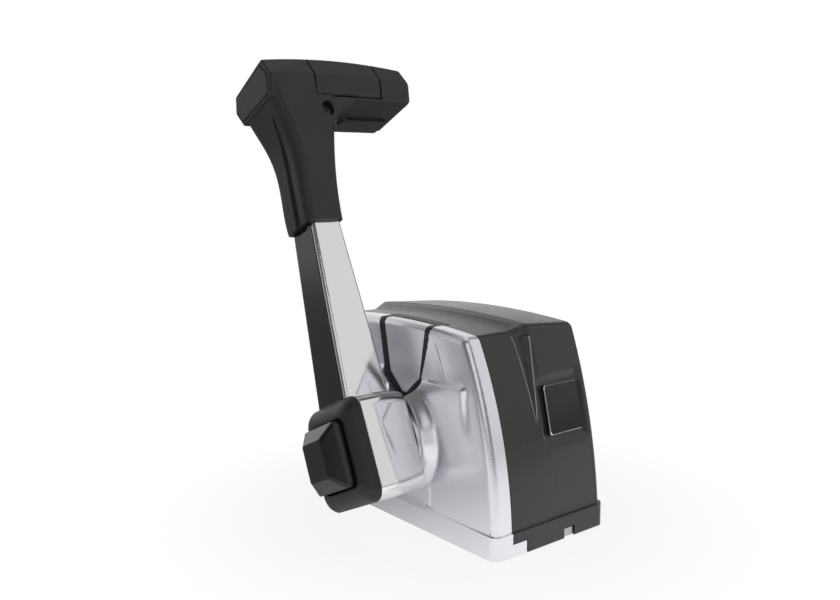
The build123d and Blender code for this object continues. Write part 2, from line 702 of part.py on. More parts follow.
with BuildPart() as hub_screw:
    with BuildSketch(beside.offset(shaft_in)):
        Circle(hub_screw_head_r)
        RegularPolygon(3.0, 6, mode=Mode.SUBTRACT)
    extrude(amount=-hub_screw_head_t)
    with BuildSketch(beside.offset(shaft_in)):
        Circle(hub_screw_r)
    extrude(amount=hub_screw_len)

with BuildPart() as hub_cap:
    with BuildSketch(beside.offset(hub_outer_x)):
        RectangleRounded(hub_w, hub_h, hub_corner_r)
    extrude(amount=-cap_skirt)
    with BuildSketch(beside.offset(hub_outer_x - cap_skirt)):
        RectangleRounded(hub_w, hub_h, hub_corner_r)
    with BuildSketch(beside.offset(cap_shoulder_x)):
        RectangleRounded(hub_w - 6.5, hub_h - 6.5, hub_corner_r - 2)
    with BuildSketch(beside.offset(cap_crown_x)):
        RectangleRounded(recess_w + 2.4, recess_h + 2.4, recess_r + 1.2)
    loft()
    with BuildSketch(beside.offset(cap_crown_x - 1)):
        RectangleRounded(recess_w, recess_h, recess_r)
    extrude(amount=recess_floor_x - cap_crown_x + 1, mode=Mode.SUBTRACT)
    with BuildSketch(beside.offset(recess_floor_x)):
        Circle(button_stem_r + stem_fit)
    extrude(amount=hub_outer_x - recess_floor_x, mode=Mode.SUBTRACT)

with BuildPart() as throttle_button:
    with BuildSketch(beside.offset(button_base_x)):
        RectangleRounded(recess_w - 2 * button_gap, recess_h - 2 * button_gap, recess_r - button_gap)
    extrude(amount=button_edge_x - button_base_x)
    with BuildSketch(beside.offset(button_edge_x)):
        RectangleRounded(recess_w - 2 * button_gap, recess_h - 2 * button_gap, recess_r - button_gap)
    with BuildSketch(beside.offset(button_face_x)):
        RectangleRounded(button_face_w, button_face_h, 1.6)
    loft(ruled=True)
    with BuildSketch(beside.offset(button_base_x)):
        Circle(button_stem_r)
    extrude(amount=hub_outer_x - button_base_x + 1)

with BuildPart() as button_spring:
    with BuildSketch(beside.offset(button_base_x + 0.1)):
        Circle(button_stem_r + 2.6)
        Circle(button_stem_r + stem_fit + 0.4, mode=Mode.SUBTRACT)
    extrude(amount=recess_floor_x - button_base_x - 0.2)

# ---- grip: moulded neck and palm-sized crossbar, crowned along its top ----
bar_stations = [(grip_end_x, grip_end_drop), (grip_crown_x, 0.0), (grip_far_x, grip_far_drop)]
neck_out = arm_head_x - 4.9
neck_in = arm_inner_x + 2.1
neck_stations = [   # height up the arm, outer x, inner x, aft u, bow u, corner radius
    (neck_foot_v, neck_out, neck_in, -17.3, 15.3, 5.5),
    (neck_foot_v + 25, neck_out + 0.4, neck_in + 1.8, -19.5, 14.6, 6.0),
    (grip_bottom_v - 36, neck_out, neck_in + 5.8, -22.3, 14.5, 7.0),
    (grip_bottom_v - 14, neck_out - 3.5, neck_in + 10.9, -23.8, 17.8, 7.0),
    (grip_bottom_v + 4, neck_out - 7.6, neck_in + 14.4, -25.2, 20.0, 6.0),
    (grip_bottom_v + 16, neck_out - 7.9, neck_in + 15.4, -27.0, 20.0, 5.0),
]
groove_stations = [   # height up the arm, outer x, middle u and width of the finger groove
    (neck_foot_v - 1, neck_out, -3.0, 6.4), (neck_foot_v + 25, neck_out + 0.4, -5.0, 5.8),
    (grip_bottom_v - 36, neck_out, -7.6, 4.8), (grip_bottom_v - 10, neck_out - 4.2, -11.4, 2.0)]
groove_depth = 2.0
gusset_x = neck_in + 9.4
gusset_r = 22.0
gusset_u = (-22.6, 12.8)


def bar_outline(drop, inset=0.0):
    """Six-sided section of the crossbar, its top lower by drop than at the crown."""
    top = grip_bottom_v + grip_depth - drop
    with BuildSketch() as outline:
        with BuildLine():
            Polyline((-21.0, top), (-27.5, grip_bottom_v + 17.5 - drop / 2), (-23.0, grip_bottom_v + 1.5),
                     (20.5, grip_bottom_v), (27.0, grip_bottom_v + 13), (22.5, top - 6), close=True)
        make_face()
        fillet(outline.vertices(), grip_edge_r)
        if inset:
            offset(amount=-inset, mode=Mode.REPLACE)
    return outline.sketch


def bar_solid(inset=0.0):
    """The crossbar through its stations, or its core at a depth of inset."""
    with BuildPart() as solid:
        for x, drop in bar_stations:
            with BuildSketch(beside.offset(x)):
                add(bar_outline(drop, inset))
        loft()
    return solid.part


def face_panel_zone(grow=0.0):
    """Block that marks off the two aft facets where the face panel lies."""
    with BuildPart() as zone:
        with BuildSketch(beside.offset(face_panel_x[0] - grow)):
            with Locations((-21.0 + face_panel_lap + grow, grip_bottom_v + face_panel_foot - grow)):
                Rectangle(grip_depth, 2 * grip_depth, align=(Align.MAX, Align.MIN))
        extrude(amount=face_panel_x[1] - face_panel_x[0] + 2 * grow)
    return zone.part


def neck_section(station):
    v, outer, inner, aft, bow, corner = station
    with BuildSketch(across.offset(v)) as section:
        with Locations(((outer + inner) / 2, (aft + bow) / 2)):
            RectangleRounded(inner - outer, bow - aft, corner)
    return section.sketch


def socket_section(v):
    """Arm section carried up to height v, opened by the socket clearance."""
    share = v / arm_shoulder_v
    outer = arm_foot_x + (arm_head_x - arm_foot_x) * share - 0.4 - neck_wall_gap
    half = arm_foot_half + (arm_head_half - arm_foot_half) * share + neck_wall_gap
    with BuildSketch(across.offset(v)) as section:
        with Locations(((outer + arm_inner_x + neck_wall_gap) / 2, 0)):
            Rectangle(arm_inner_x + neck_wall_gap - outer, 2 * half)
    return section


def end_panel_outline(grow=0.0):
    """Six-sided plate that nearly fills the lever-side end of the crossbar."""
    top = grip_bottom_v + grip_depth - grip_end_drop
    with BuildSketch() as outline:
        with BuildLine():
            Polyline((-18.0, top - 3.6), (-23.6, grip_bottom_v + 16), (-19.8, grip_bottom_v + 4.6),
                     (19.0, grip_bottom_v + 3.0), (24.0, grip_bottom_v + 13), (20.0, top - 8.4), close=True)
        make_face()
        fillet(outline.vertices(), 1.5)
        if grow:
            offset(amount=grow)
    return outline.sketch


tongue_bottom_v = trigger_bottom_v + 2.0
tongue_t = 2.4
end_panel_proud = 0.4
along = Plane(origin=(0, 0, pivot_z), x_dir=(1, 0, 0), z_dir=-U)   # local x, v; offset towards the operator
screw_seat = Plane(origin=across.from_local_coords((grip_screw_x, grip_screw_u, grip_screw_v)),
                   x_dir=(1, 0, 0), z_dir=-U)

with BuildPart() as grip_body:
    add(bar_solid())
    fillet(grip_body.faces().sort_by(Axis.X)[0].edges(), 1.6)
    chamfer(grip_body.faces().sort_by(Axis.X)[-1].edges(), 2.6)
    for station in neck_stations:
        add(neck_section(station))
    loft()
    # gusset under the crossbar, where the finger rests
    with BuildSketch(along.offset(-gusset_u[1])):
        with BuildLine():
            bend = ThreePointArc((gusset_x, grip_bottom_v - gusset_r),
                                 (gusset_x + gusset_r * (1 - sin(radians(45))),
                                  grip_bottom_v - gusset_r * (1 - sin(radians(45)))),
                                 (gusset_x + gusset_r, grip_bottom_v))
            Polyline(bend @ 1, (gusset_x + gusset_r, grip_bottom_v + 3), (gusset_x - 3, grip_bottom_v + 3),
                     (gusset_x - 3, grip_bottom_v - gusset_r), bend @ 0)
        make_face()
    extrude(amount=gusset_u[1] - gusset_u[0])
    # socket for the arm's shoulder, and for the tang above it
    add(socket_section(neck_foot_v - 2).sketch)
    add(socket_section(arm_shoulder_v + neck_wall_gap).sketch)
    loft(ruled=True, mode=Mode.SUBTRACT)
    with BuildSketch(across.offset(arm_shoulder_v)):
        with Locations((sum(tang_x) / 2, 0)):
            RectangleRounded(tang_x[1] - tang_x[0] + 2 * neck_wall_gap, 2 * (tang_half + neck_wall_gap), 2)
    extrude(amount=tang_top - arm_shoulder_v + neck_wall_gap, mode=Mode.SUBTRACT)
    # seats of the end panel and of the face panel
    with BuildSketch(beside.offset(grip_end_x - 1)):
        add(end_panel_outline(panel_seam))
    extrude(amount=end_panel_t + 1, mode=Mode.SUBTRACT)
    add(face_panel_zone(panel_seam) - bar_solid(face_panel_t + 0.1), mode=Mode.SUBTRACT)
    # screw well, trigger bay and the way down for the lock rod
    with BuildSketch(screw_seat):
        Circle(grip_screw_recess_r)
    extrude(amount=20, mode=Mode.SUBTRACT)
    with BuildSketch(screw_seat):
        Circle(grip_screw_r)
    extrude(amount=-grip_screw_len, mode=Mode.SUBTRACT)
    with BuildSketch(across.offset(grip_bottom_v - 6)):
        with Locations((sum(trigger_x) / 2, sum(trigger_u) / 2)):
            RectangleRounded(trigger_x[1] - trigger_x[0] + 2 * trigger_fit,
                             trigger_u[1] - trigger_u[0] + 2 * trigger_fit, 2.4)
    extrude(amount=trigger_bottom_v + trigger_t + trigger_travel + trigger_fit - grip_bottom_v + 6,
            mode=Mode.SUBTRACT)
    with BuildSketch(across.offset(tongue_bottom_v - trigger_fit)):
        with Locations(((trigger_x[0] + 4 + rod_x - rod_r - rod_fit) / 2, rod_u)):
            Rectangle(trigger_x[0] + 4 - rod_x + rod_r + rod_fit, 2 * (rod_r + rod_fit))
    extrude(amount=tongue_t + trigger_travel + 2 * trigger_fit, mode=Mode.SUBTRACT)
    with BuildSketch(across.offset(tang_top - 1)):
        with Locations((rod_x, rod_u)):
            Circle(rod_r + rod_fit)
    extrude(amount=tongue_bottom_v - tang_top + 1, mode=Mode.SUBTRACT)
    # finger groove down the outer face of the neck
    for v, outer, u_mid, width in groove_stations:
        with BuildSketch(across.offset(v)):
            with Locations((outer, u_mid)):
                Rectangle(2 * groove_depth, width)
    loft(ruled=True, mode=Mode.SUBTRACT)

with BuildPart() as grip_end_panel:
    with BuildSketch(beside.offset(grip_end_x - end_panel_proud)):
        add(end_panel_outline())
    extrude(amount=end_panel_t + end_panel_proud)
    fillet(grip_end_panel.faces().sort_by(Axis.X)[0].edges(), 0.6)

with BuildPart() as grip_face_panel:
    add(bar_solid())
    add(face_panel_zone(), mode=Mode.INTERSECT)
    add(bar_solid(face_panel_t), mode=Mode.SUBTRACT)

with BuildPart() as grip_screw:
    with BuildSketch(screw_seat):
        Circle(grip_screw_head_r)
    extrude(amount=1.6)
    with BuildSketch(screw_seat.offset(1.6)):
        Rectangle(4.6, 0.9)
        Rectangle(0.9, 4.6)
    extrude(amount=-1.0, mode=Mode.SUBTRACT)
    with BuildSketch(screw_seat):
        Circle(grip_screw_r)
    extrude(amount=-grip_screw_len)

# ---- neutral lock: finger bar under the crossbar, its tongue and the rod inside the arm ----
with BuildPart() as lock_trigger:
    with BuildSketch(across.offset(trigger_bottom_v)):
        with Locations((sum(trigger_x) / 2, sum(trigger_u) / 2)):
            RectangleRounded(trigger_x[1] - trigger_x[0], trigger_u[1] - trigger_u[0], 2.0)
    extrude(amount=trigger_t)
    fillet(lock_trigger.faces().sort_by(Axis((0, 0, 0), V))[0].edges(), 1.2)
    with BuildSketch(across.offset(tongue_bottom_v)):
        with Locations(((trigger_x[0] + 4 + rod_x - rod_r) / 2, rod_u)):
            Rectangle(trigger_x[0] + 4 - rod_x + rod_r, 2 * rod_r)
    extrude(amount=tongue_t)

with BuildPart() as lock_rod:
    with BuildSketch(across.offset(rod_foot_v)):
        with Locations((rod_x, rod_u)):
            Circle(rod_r)
    extrude(amount=tongue_bottom_v - rod_foot_v)
    chamfer(lock_rod.faces().sort_by(Axis((0, 0, 0), V))[0].edges(), 0.8)

for name, piece in {
        "main_cover": main_cover, "side_cover": side_cover, "access_bezel": access_bezel,
        "access_panel": access_panel, "badge_plate": badge_plate, "hub_escutcheon": hub_escutcheon,
        "base_frame": base_frame, "base_gasket": base_gasket, "near_bush": near_bush,
        "far_bush": far_bush, "friction_shoe": friction_shoe, "friction_screw": friction_screw,
        "detent_spring": detent_spring, "detent_roller": detent_roller, "main_shaft": main_shaft,
        "shaft_circlip": shaft_circlip, "friction_drum": friction_drum, "drive_arm": drive_arm,
        "cable_pin": cable_pin, "detent_wheel": detent_wheel, "lever_arm": lever_arm,
        "arm_insert": arm_insert, "hub_screw": hub_screw, "hub_cap": hub_cap,
        "throttle_button": throttle_button, "button_spring": button_spring, "grip_body": grip_body,
        "grip_end_panel": grip_end_panel, "grip_face_panel": grip_face_panel, "grip_screw": grip_screw,
        "lock_trigger": lock_trigger, "lock_rod": lock_rod}.items():
    piece.part.label = name
    export_step(piece.part, f"parts/{name}.step")
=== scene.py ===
"""Single-lever boat throttle and shift control, with the finishes of its pieces and a small studio.

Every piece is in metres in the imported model's frame: +Y is the bow, -Y the operator, -X the lever side.
"""

import bmesh
import bpy
from math import cos, hypot, radians, sin, tan
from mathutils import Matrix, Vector


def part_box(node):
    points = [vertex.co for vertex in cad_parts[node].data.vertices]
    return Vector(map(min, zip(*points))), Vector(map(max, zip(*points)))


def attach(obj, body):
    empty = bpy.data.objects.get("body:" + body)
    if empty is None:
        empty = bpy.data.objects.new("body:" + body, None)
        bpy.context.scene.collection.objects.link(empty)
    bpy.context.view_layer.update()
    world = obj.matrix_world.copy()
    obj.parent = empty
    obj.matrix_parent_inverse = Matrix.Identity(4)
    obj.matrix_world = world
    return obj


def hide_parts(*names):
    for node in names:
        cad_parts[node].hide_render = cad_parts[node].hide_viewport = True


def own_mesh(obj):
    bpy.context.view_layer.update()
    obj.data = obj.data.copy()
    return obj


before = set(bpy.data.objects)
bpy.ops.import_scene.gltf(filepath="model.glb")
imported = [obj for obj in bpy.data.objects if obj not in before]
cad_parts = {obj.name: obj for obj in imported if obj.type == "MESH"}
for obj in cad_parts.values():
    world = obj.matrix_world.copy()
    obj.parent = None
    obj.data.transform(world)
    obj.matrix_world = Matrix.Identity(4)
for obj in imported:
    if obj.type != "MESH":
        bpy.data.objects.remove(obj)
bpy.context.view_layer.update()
scene = bpy.context.scene

# ---- studio ----
# A pale sweep of paper under the control, two large soft lamps on the operator's side and one overhead.
# The camera stands off the operator's lever side, a little above the housing.
scene.view_settings.view_transform = "Standard"
camera = bpy.data.objects.new("camera", bpy.data.cameras.new("camera"))
scene.collection.objects.link(camera)
scene.camera = camera
camera.location = (-0.4018, -0.4515, 0.225)
camera.rotation_euler = (radians(86), 0, radians(-39.3))
camera.data.sensor_width = 36
camera.data.lens = 38.79
camera.data.shift_y = -0.0756
camera.data.clip_start = 0.01


class Tap:
    """One socket in a tree of shader nodes. Sums written on taps add their Math nodes to the tree."""

    def __init__(self, shading, socket):
        self.shading, self.socket = shading, socket

    def sum(self, operation, first, second):
        return self.shading.node("ShaderNodeMath", {"operation": operation}, {0: first, 1: second})

    def __add__(self, other):
        return self.sum("ADD", self, other)

    __radd__ = __add__

    def __sub__(self, other):
        return self.sum("SUBTRACT", self, other)

    def __rsub__(self, other):
        return self.sum("SUBTRACT", other, self)

    def __mul__(self, other):
        return self.sum("MULTIPLY", self, other)

    __rmul__ = __mul__


class Shading:
    """A tree of shader nodes, all of which come from its node method."""

    def __init__(self, tree):
        self.tree = tree

    def feed(self, socket, value):
        if isinstance(value, Tap):
            self.tree.links.new(value.socket, socket)
        else:
            socket.default_value = value

    def node(self, kind, settings, sockets, out=0):
        node = self.tree.nodes.new(kind)
        for setting, value in settings.items():
            setattr(node, setting, value)
        for socket, value in sockets.items():
            self.feed(node.inputs[socket], value)
        return Tap(self, node.outputs[out])

    def spread(self, tap, low, high, to_low, to_high):
        """Takes a tap's low..high to to_low..to_high, clamped."""
        return self.node("ShaderNodeMapRange", {}, {"Value": tap, "From Min": low, "From Max": high,
                                                    "To Min": to_low, "To Max": to_high})


class Finish(Shading):
    """A surface finish: a Principled shader and whatever varies over it."""

    def __init__(self, name, **sockets):
        self.material = bpy.data.materials.new(name)
        self.material.use_nodes = True
        super().__init__(self.material.node_tree)
        self.shader = self.tree.nodes["Principled BSDF"]
        for socket, value in sockets.items():
            self.feed(self.shader.inputs[socket.replace("_", " ")], value)

    def place(self):
        """Object coordinates, which are the part's own frame in metres."""
        return self.node("ShaderNodeTexCoord", {}, {}, out="Object")

    def grain(self, scale, detail=2.0, roughness=0.5):
        return self.node("ShaderNodeTexNoise", {}, {"Vector": self.place(), "Scale": scale, "Detail": detail,
                                                    "Roughness": roughness})

    def blend(self, share, first, second):
        return self.node("ShaderNodeMix", {"data_type": "RGBA"}, {0: share, 6: first, 7: second}, out=2)

    def soft_edge(self, radius):
        """The normal of edges broken by radius, as a mould or a file leaves them."""
        return self.node("ShaderNodeBevel", {"samples": 6}, {"Radius": radius})

    def edge(self, radius):
        """0 on a flat, towards 1 where an edge is handled."""
        worn = self.node("ShaderNodeVectorMath", {"operation": "DOT_PRODUCT"},
                         {0: self.soft_edge(radius), 1: self.node("ShaderNodeNewGeometry", {}, {}, out="Normal")},
                         out="Value")
        return self.spread(worn, 1.0, 0.75, 0.0, 1.0)

    def relief(self, height, distance, edge_radius=0.0):
        """Bumps of that height in metres, on edges broken by edge_radius."""
        sockets = {"Height": height, "Distance": distance}
        if edge_radius:
            sockets["Normal"] = self.soft_edge(edge_radius)
        self.feed(self.shader.inputs["Normal"], self.node("ShaderNodeBump", {}, sockets))


paper = Finish("white_paper", Roughness=0.8)
bpy.ops.mesh.primitive_plane_add(size=8, location=(0, 0, -0.0004))
floor = bpy.context.object
floor.name = "floor"
floor.data.materials.append(paper.material)
paper.feed(paper.shader.inputs["Base Color"], paper.blend(paper.grain(900, 3), (0.86, 0.86, 0.86, 1),
                                                         (0.88, 0.88, 0.88, 1)))
paper.feed(paper.shader.inputs["Specular IOR Level"], 0.1)
# past the reach of its shadow the camera sees the paper plain white; in polished pieces it is white on the
# operator's side and grey on the lever side, as painted shade that stands in for a flag
away = paper.node("ShaderNodeVectorMath", {"operation": "LENGTH"}, {0: paper.place()}, out="Value")
white = paper.node("ShaderNodeEmission", {}, {"Color": (1, 1, 1, 1), "Strength": 1.0})
bare = paper.node("ShaderNodeMixShader", {}, {
    0: paper.spread(away, 0.1, 0.2, 0.88, 1.0) * paper.node("ShaderNodeLightPath", {}, {}, out="Is Camera Ray"),
    1: Tap(paper, paper.shader.outputs["BSDF"]), 2: white})
painted_shade_side = paper.node("ShaderNodeVectorMath", {"operation": "DOT_PRODUCT"}, {0: paper.place(), 1: (-0.15, -0.99, 0)},
                     out="Value")
mirrored = paper.node("ShaderNodeEmission", {}, {"Strength": 1.0, "Color": paper.blend(
    paper.spread(painted_shade_side, -0.06, 0.1, 0.0, 1.0), (0.31, 0.31, 0.33, 1), (1, 1, 1, 1))})
glossy = paper.node("ShaderNodeLightPath", {}, {}, out="Is Glossy Ray")
paper.feed(paper.tree.nodes["Material Output"].inputs["Surface"],
           paper.node("ShaderNodeMixShader", {}, {0: glossy, 1: bare, 2: mirrored}))

# The room: even grey air for the shadows, a white backdrop behind, and a dim room behind the camera, which is
# all that the polished and glossy pieces mirror besides the lamps and the paper.
world = bpy.data.worlds.new("studio")
world.use_nodes = True
scene.world = world
room = Shading(world.node_tree)
facing = room.node("ShaderNodeVectorMath", {"operation": "DOT_PRODUCT"}, {
    0: room.node("ShaderNodeTexCoord", {}, {}, out="Generated"), 1: (0.2, 0.9, -0.2)}, out="Value")
in_sight = room.node("ShaderNodeLightPath", {}, {}, out="Is Camera Ray")
in_polish = room.node("ShaderNodeLightPath", {}, {}, out="Is Glossy Ray")
whiteness = room.node("ShaderNodeMix", {}, {0: in_sight, 2: room.spread(facing, 0.1, 0.8, 0.12, 1.0), 3: 1.0})
air = room.tree.nodes["Background"]
room.feed(air.inputs["Color"], (0.75, 0.76, 0.78, 1))
room.feed(air.inputs["Strength"], 0.35)
backdrop = room.node("ShaderNodeBackground", {}, {"Color": (1, 1, 1, 1), "Strength": whiteness})
room.feed(room.tree.nodes["World Output"].inputs["Surface"], room.node("ShaderNodeMixShader", {}, {
    0: room.node("ShaderNodeMath", {"operation": "MAXIMUM"}, {0: in_sight, 1: in_polish}),
    1: Tap(room, air.outputs["Background"]), 2: backdrop}))

lamps = {   # name: (place, width, watts), each aimed at the middle of the control
    "operator_softbox": ((0.9, -1.04, 1.0), 2.0, 8.0),
    "lever_softbox": ((-0.96, -1.1, 0.8), 1.1, 2.8),
    "overhead_softbox": ((0.1, 0.3, 1.8), 1.5, 3.6),
}
for name, (place, size, watts) in lamps.items():
    lamp = bpy.data.objects.new(name, bpy.data.lights.new(name, "AREA"))
    scene.collection.objects.link(lamp)
    lamp.location = place
    lamp.rotation_euler = (Vector((0, 0, 0.13)) - Vector(place)).to_track_quat("-Z", "Y").to_euler()
    lamp.data.size = size
    lamp.data.energy = watts


# ---- far cover ----
# The big half of the housing, injection moulded in black ABS with a fine spark-eroded texture. It drops
# over the frame and is held by the same bolts.
groove_top, groove_run = 124.0, 52.0    # mm: height of the groove's wide end, and its run down to the point
groove_lines = {    # mm: x at the wide end, and the drift sideways over the run
    "left lip": (-7.5, 2.5),
    "crease": (-1.5, -3.0),
    "right lip": (3.1, -7.3),
}
moulded_black = Finish("moulded_black_abs", IOR=1.5)
spot = {"Vector": moulded_black.place()}
sideways, bowward, up = (moulded_black.node("ShaderNodeSeparateXYZ", {}, spot, out=axis) for axis in "XYZ")
# the groove's lips get a painted highlight: a paler colour along each lip's own line on the operator face
painted_lip_highlight = 0.0
for lip in ("left lip", "right lip"):
    start, drift = groove_lines[lip]
    off = sideways * 1000 - start - (groove_top / 1000 - up) * (drift / (groove_run / 1000))
    painted_lip_highlight = painted_lip_highlight + moulded_black.spread(off * off, 0.16, 0.02, 0.0, 1.0)
painted_lip_highlight = painted_lip_highlight * moulded_black.spread(up, 0.073, 0.078, 0.0, 1.0)
painted_lip_highlight = painted_lip_highlight * moulded_black.spread(up, 0.1245, 0.1235, 0.0, 1.0)
painted_lip_highlight = painted_lip_highlight * moulded_black.spread(bowward, -0.055, -0.056, 0.0, 1.0)
worn = moulded_black.edge(0.0012) * 0.6 + moulded_black.grain(9, 3) * 0.25
moulded = moulded_black.blend(worn, (0.026, 0.0255, 0.026, 1), (0.056, 0.055, 0.056, 1))
moulded_black.feed(moulded_black.shader.inputs["Base Color"],
                   moulded_black.blend(painted_lip_highlight, moulded, (0.42, 0.42, 0.44, 1)))
moulded_black.feed(moulded_black.shader.inputs["Roughness"], moulded_black.grain(160, 4) * 0.12 + 0.22)
moulded_black.relief(moulded_black.grain(2600, 2), 0.00002, 0.0009)


def ease(value, start, end):
    """0 before start, 1 after end, with a soft bend at both."""
    share = min(max((value - start) / (end - start), 0.0), 1.0)
    return share * share * (3 - 2 * share)


def lift(node):
    """A bmesh of a CAD node to be worked on, smooth but for its edges of more than 30 degrees."""
    mesh_data = bmesh.new()
    mesh_data.from_mesh(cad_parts[node].data)
    bmesh.ops.remove_doubles(mesh_data, verts=mesh_data.verts, dist=1e-6)
    for edge in mesh_data.edges:
        edge.smooth = edge.calc_face_angle(0) < radians(30)
    for face in mesh_data.faces:
        face.smooth = True
    return mesh_data


def slice_up(mesh_data, faces, cuts):
    """Cuts faces along planes and returns the faces they become. Lists keep their order, so each run cuts alike."""
    part = faces + list(dict.fromkeys(edge for face in faces for edge in face.edges))
    part += list(dict.fromkeys(vert for face in faces for vert in face.verts))
    for place, across in cuts:
        part = bmesh.ops.bisect_plane(mesh_data, geom=part, dist=1e-6, plane_co=place, plane_no=across)["geom"]
    return [item for item in part if isinstance(item, bmesh.types.BMFace)]


def settle(name, mesh_data, finish, body, node):
    """Makes a mesh a piece that stands for its CAD node, with flat faces left flat by area-weighted normals."""
    bmesh.ops.dissolve_degenerate(mesh_data, dist=0.00003, edges=mesh_data.edges)
    piece = bpy.data.objects.new(name, bpy.data.meshes.new(name))
    mesh_data.to_mesh(piece.data)
    mesh_data.free()
    piece.data.materials.append(finish.material)
    scene.collection.objects.link(piece)
    weighted = piece.modifiers.new("weighted", "WEIGHTED_NORMAL")
    weighted.keep_sharp = True
    bpy.context.view_layer.update()
    flat = bpy.data.meshes.new_from_object(piece.evaluated_get(bpy.context.evaluated_depsgraph_get()))
    piece.modifiers.clear()
    piece.data = flat
    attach(piece, body)
    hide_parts(node)
    return piece


lean_foot, lean_x, lean_width = 60.0, 4.4, 11.5     # mm: where the face starts to lean back to the ledge
lip_rise, crease_rise, scoop_depth = 0.6, 0.7, 1.8  # mm


def face_sink(x, z):
    """How far the operator face lies inside its arc, in mm, at a place on it: it leans back to the ledge, with a
    groove under the step between two lips, and finger scoops at both sides of the badge."""
    rise = max(z - lean_foot, 0.0)
    lean = min(max((lean_x - x) / lean_width, 0.0), 1.0) * (0.0325 * rise + 0.00068 * rise * rise)
    down = (groove_top - z) / groove_run
    left, crease, right = (start + drift * down for start, drift in groove_lines.values())
    share = ease(z, 70.0, 80.0)
    below_top = ease(z, groove_top, groove_top - 3)
    sink = lean + 0.1 + max(x - lean_x, 0.0) * 0.0195
    if left < x < right:
        reach = (x - left) / (crease - left) if x < crease else (right - x) / (right - crease)
        sink += (0.4 + 1.4 * ease(z, 72.0, 122.0)) * reach * share
    sink -= lip_rise * (ease(abs(x - left), 0.9, 0.1) + ease(abs(x - right), 0.9, 0.1)) * share * below_top
    sink -= crease_rise * ease(abs(x - crease), 0.9, 0.1) * ease(z, 102.0, 108.0) * below_top
    if x < 20:
        scoop = ease(x, -1.0, 4.8) * ease(z, 57.5, 65.0) * ease(z, 101.5, 94.0)
    else:
        scoop = ease(x, 42.0, 36.6) * ease(z, 57.5, 62.0) * ease(z, 101.0, 96.5)
    return sink + scoop_depth * scoop


arc_y, arc_z, arc_r = 309.91, -9.355, 397.05    # mm: the arc of the operator face, seen from the side


def depth(vert):
    """How far a point lies inside the arc of the operator face, in mm."""
    return arc_r - hypot(vert.co.y * 1000 - arc_y, vert.co.z * 1000 - arc_z)


skin = lift("main_cover")
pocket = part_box("badge_plate")
face_left, face_right, face_foot, face_top, face_depth = -0.012, 0.0421, 0.0151, 0.1242, 5.3    # m, the depth mm
ledge_edge, ledge_bend, ledge_lean = -0.0071, 0.072, 0.025      # m, and m sideways for each m above the bend
pocket_margin, pocket_depth = 0.0011, 0.6   # m and mm: what lies in the badge's pocket is left alone
marked = [face for face in skin.faces if face.normal.y < -0.2 and face_left < face.calc_center_median().x
          and all(-0.1 < depth(vert) < face_depth and face_foot < vert.co.z < face_top and vert.co.x < face_right
                  for vert in face.verts)
          and not (min(vert.co.x for vert in face.verts) > pocket[0].x - pocket_margin
                   and max(vert.co.x for vert in face.verts) < pocket[1].x + pocket_margin
                   and min(depth(vert) for vert in face.verts) > pocket_depth)]
groove_pitch, scoop_pitch, row_pitch, lowest_row = 0.0005, 0.0012, 0.0015, 0.054    # m
cuts = [((step * groove_pitch, 0, 0), (1, 0, 0)) for step in range(-22, 14)]
cuts += [((step * scoop_pitch, 0, 0), (1, 0, 0)) for step in range(29, 36)]
cuts += [((0, 0, lowest_row + step * row_pitch), (0, 0, 1)) for step in range(47)]
for vert in dict.fromkeys(vert for face in slice_up(skin, marked, cuts) for vert in face.verts):
    if vert.co.x < ledge_edge - max(vert.co.z - ledge_bend, 0) * ledge_lean:
        continue    # the ledge's own face stays as the CAD has it
    sunk = arc_r - face_sink(vert.co.x * 1000, vert.co.z * 1000)
    out = Vector((0, vert.co.y * 1000 - arc_y, vert.co.z * 1000 - arc_z)).normalized() * sunk
    vert.co.y, vert.co.z = (out.y + arc_y) / 1000, (out.z + arc_z) / 1000
settle("main_cover_skin", skin, moulded_black, "housing", "main_cover")

# ---- lever-side cover and access panel ----
# Two mouldings sprayed with silver paint; the panel lifts out to reach the friction screw. The cover's side
# swells round the hub, with a seat for it, a tab of the skirt below and a facet that runs up beside the bezel.
silver_paint = Finish("silver_paint", Metallic=0.95, IOR=1.5)
flake = silver_paint.grain(6500, 1)
silver_paint.feed(silver_paint.shader.inputs["Base Color"], silver_paint.blend(
    flake * 0.7 + silver_paint.grain(12, 3) * 0.3, (0.80, 0.805, 0.85, 1), (0.90, 0.905, 0.94, 1)))
silver_paint.feed(silver_paint.shader.inputs["Roughness"], silver_paint.grain(55, 3) * 0.08 + 0.24)
silver_paint.relief(silver_paint.grain(1400, 2), 0.000004)
panel_paint = Finish("panel_paint", Metallic=0.9, IOR=1.5)
panel_paint.feed(panel_paint.shader.inputs["Base Color"], panel_paint.blend(
    panel_paint.grain(6500, 1) * 0.7 + panel_paint.grain(12, 3) * 0.3, (0.84, 0.85, 0.88, 1), (0.92, 0.93, 0.95, 1)))
panel_paint.feed(panel_paint.shader.inputs["Roughness"], panel_paint.grain(55, 3) * 0.1 + 0.3)
panel_paint.relief(panel_paint.grain(5200, 2), 0.00001, 0.0008)


def dress(finish, *names):
    """Gives CAD nodes a finish through their own material slots."""
    for name in names:
        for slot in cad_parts[name].material_slots:
            slot.material = finish.material


dress(panel_paint, "access_panel")
dress(silver_paint, "hub_escutcheon")


def box_gap(y, z, half_y, half_z, radius):
    """Distance outside a round-cornered rectangle, negative inside it."""
    past_y, past_z = abs(y) - half_y + radius, abs(z) - half_z + radius
    return hypot(max(past_y, 0), max(past_z, 0)) + min(max(past_y, past_z), 0) - radius


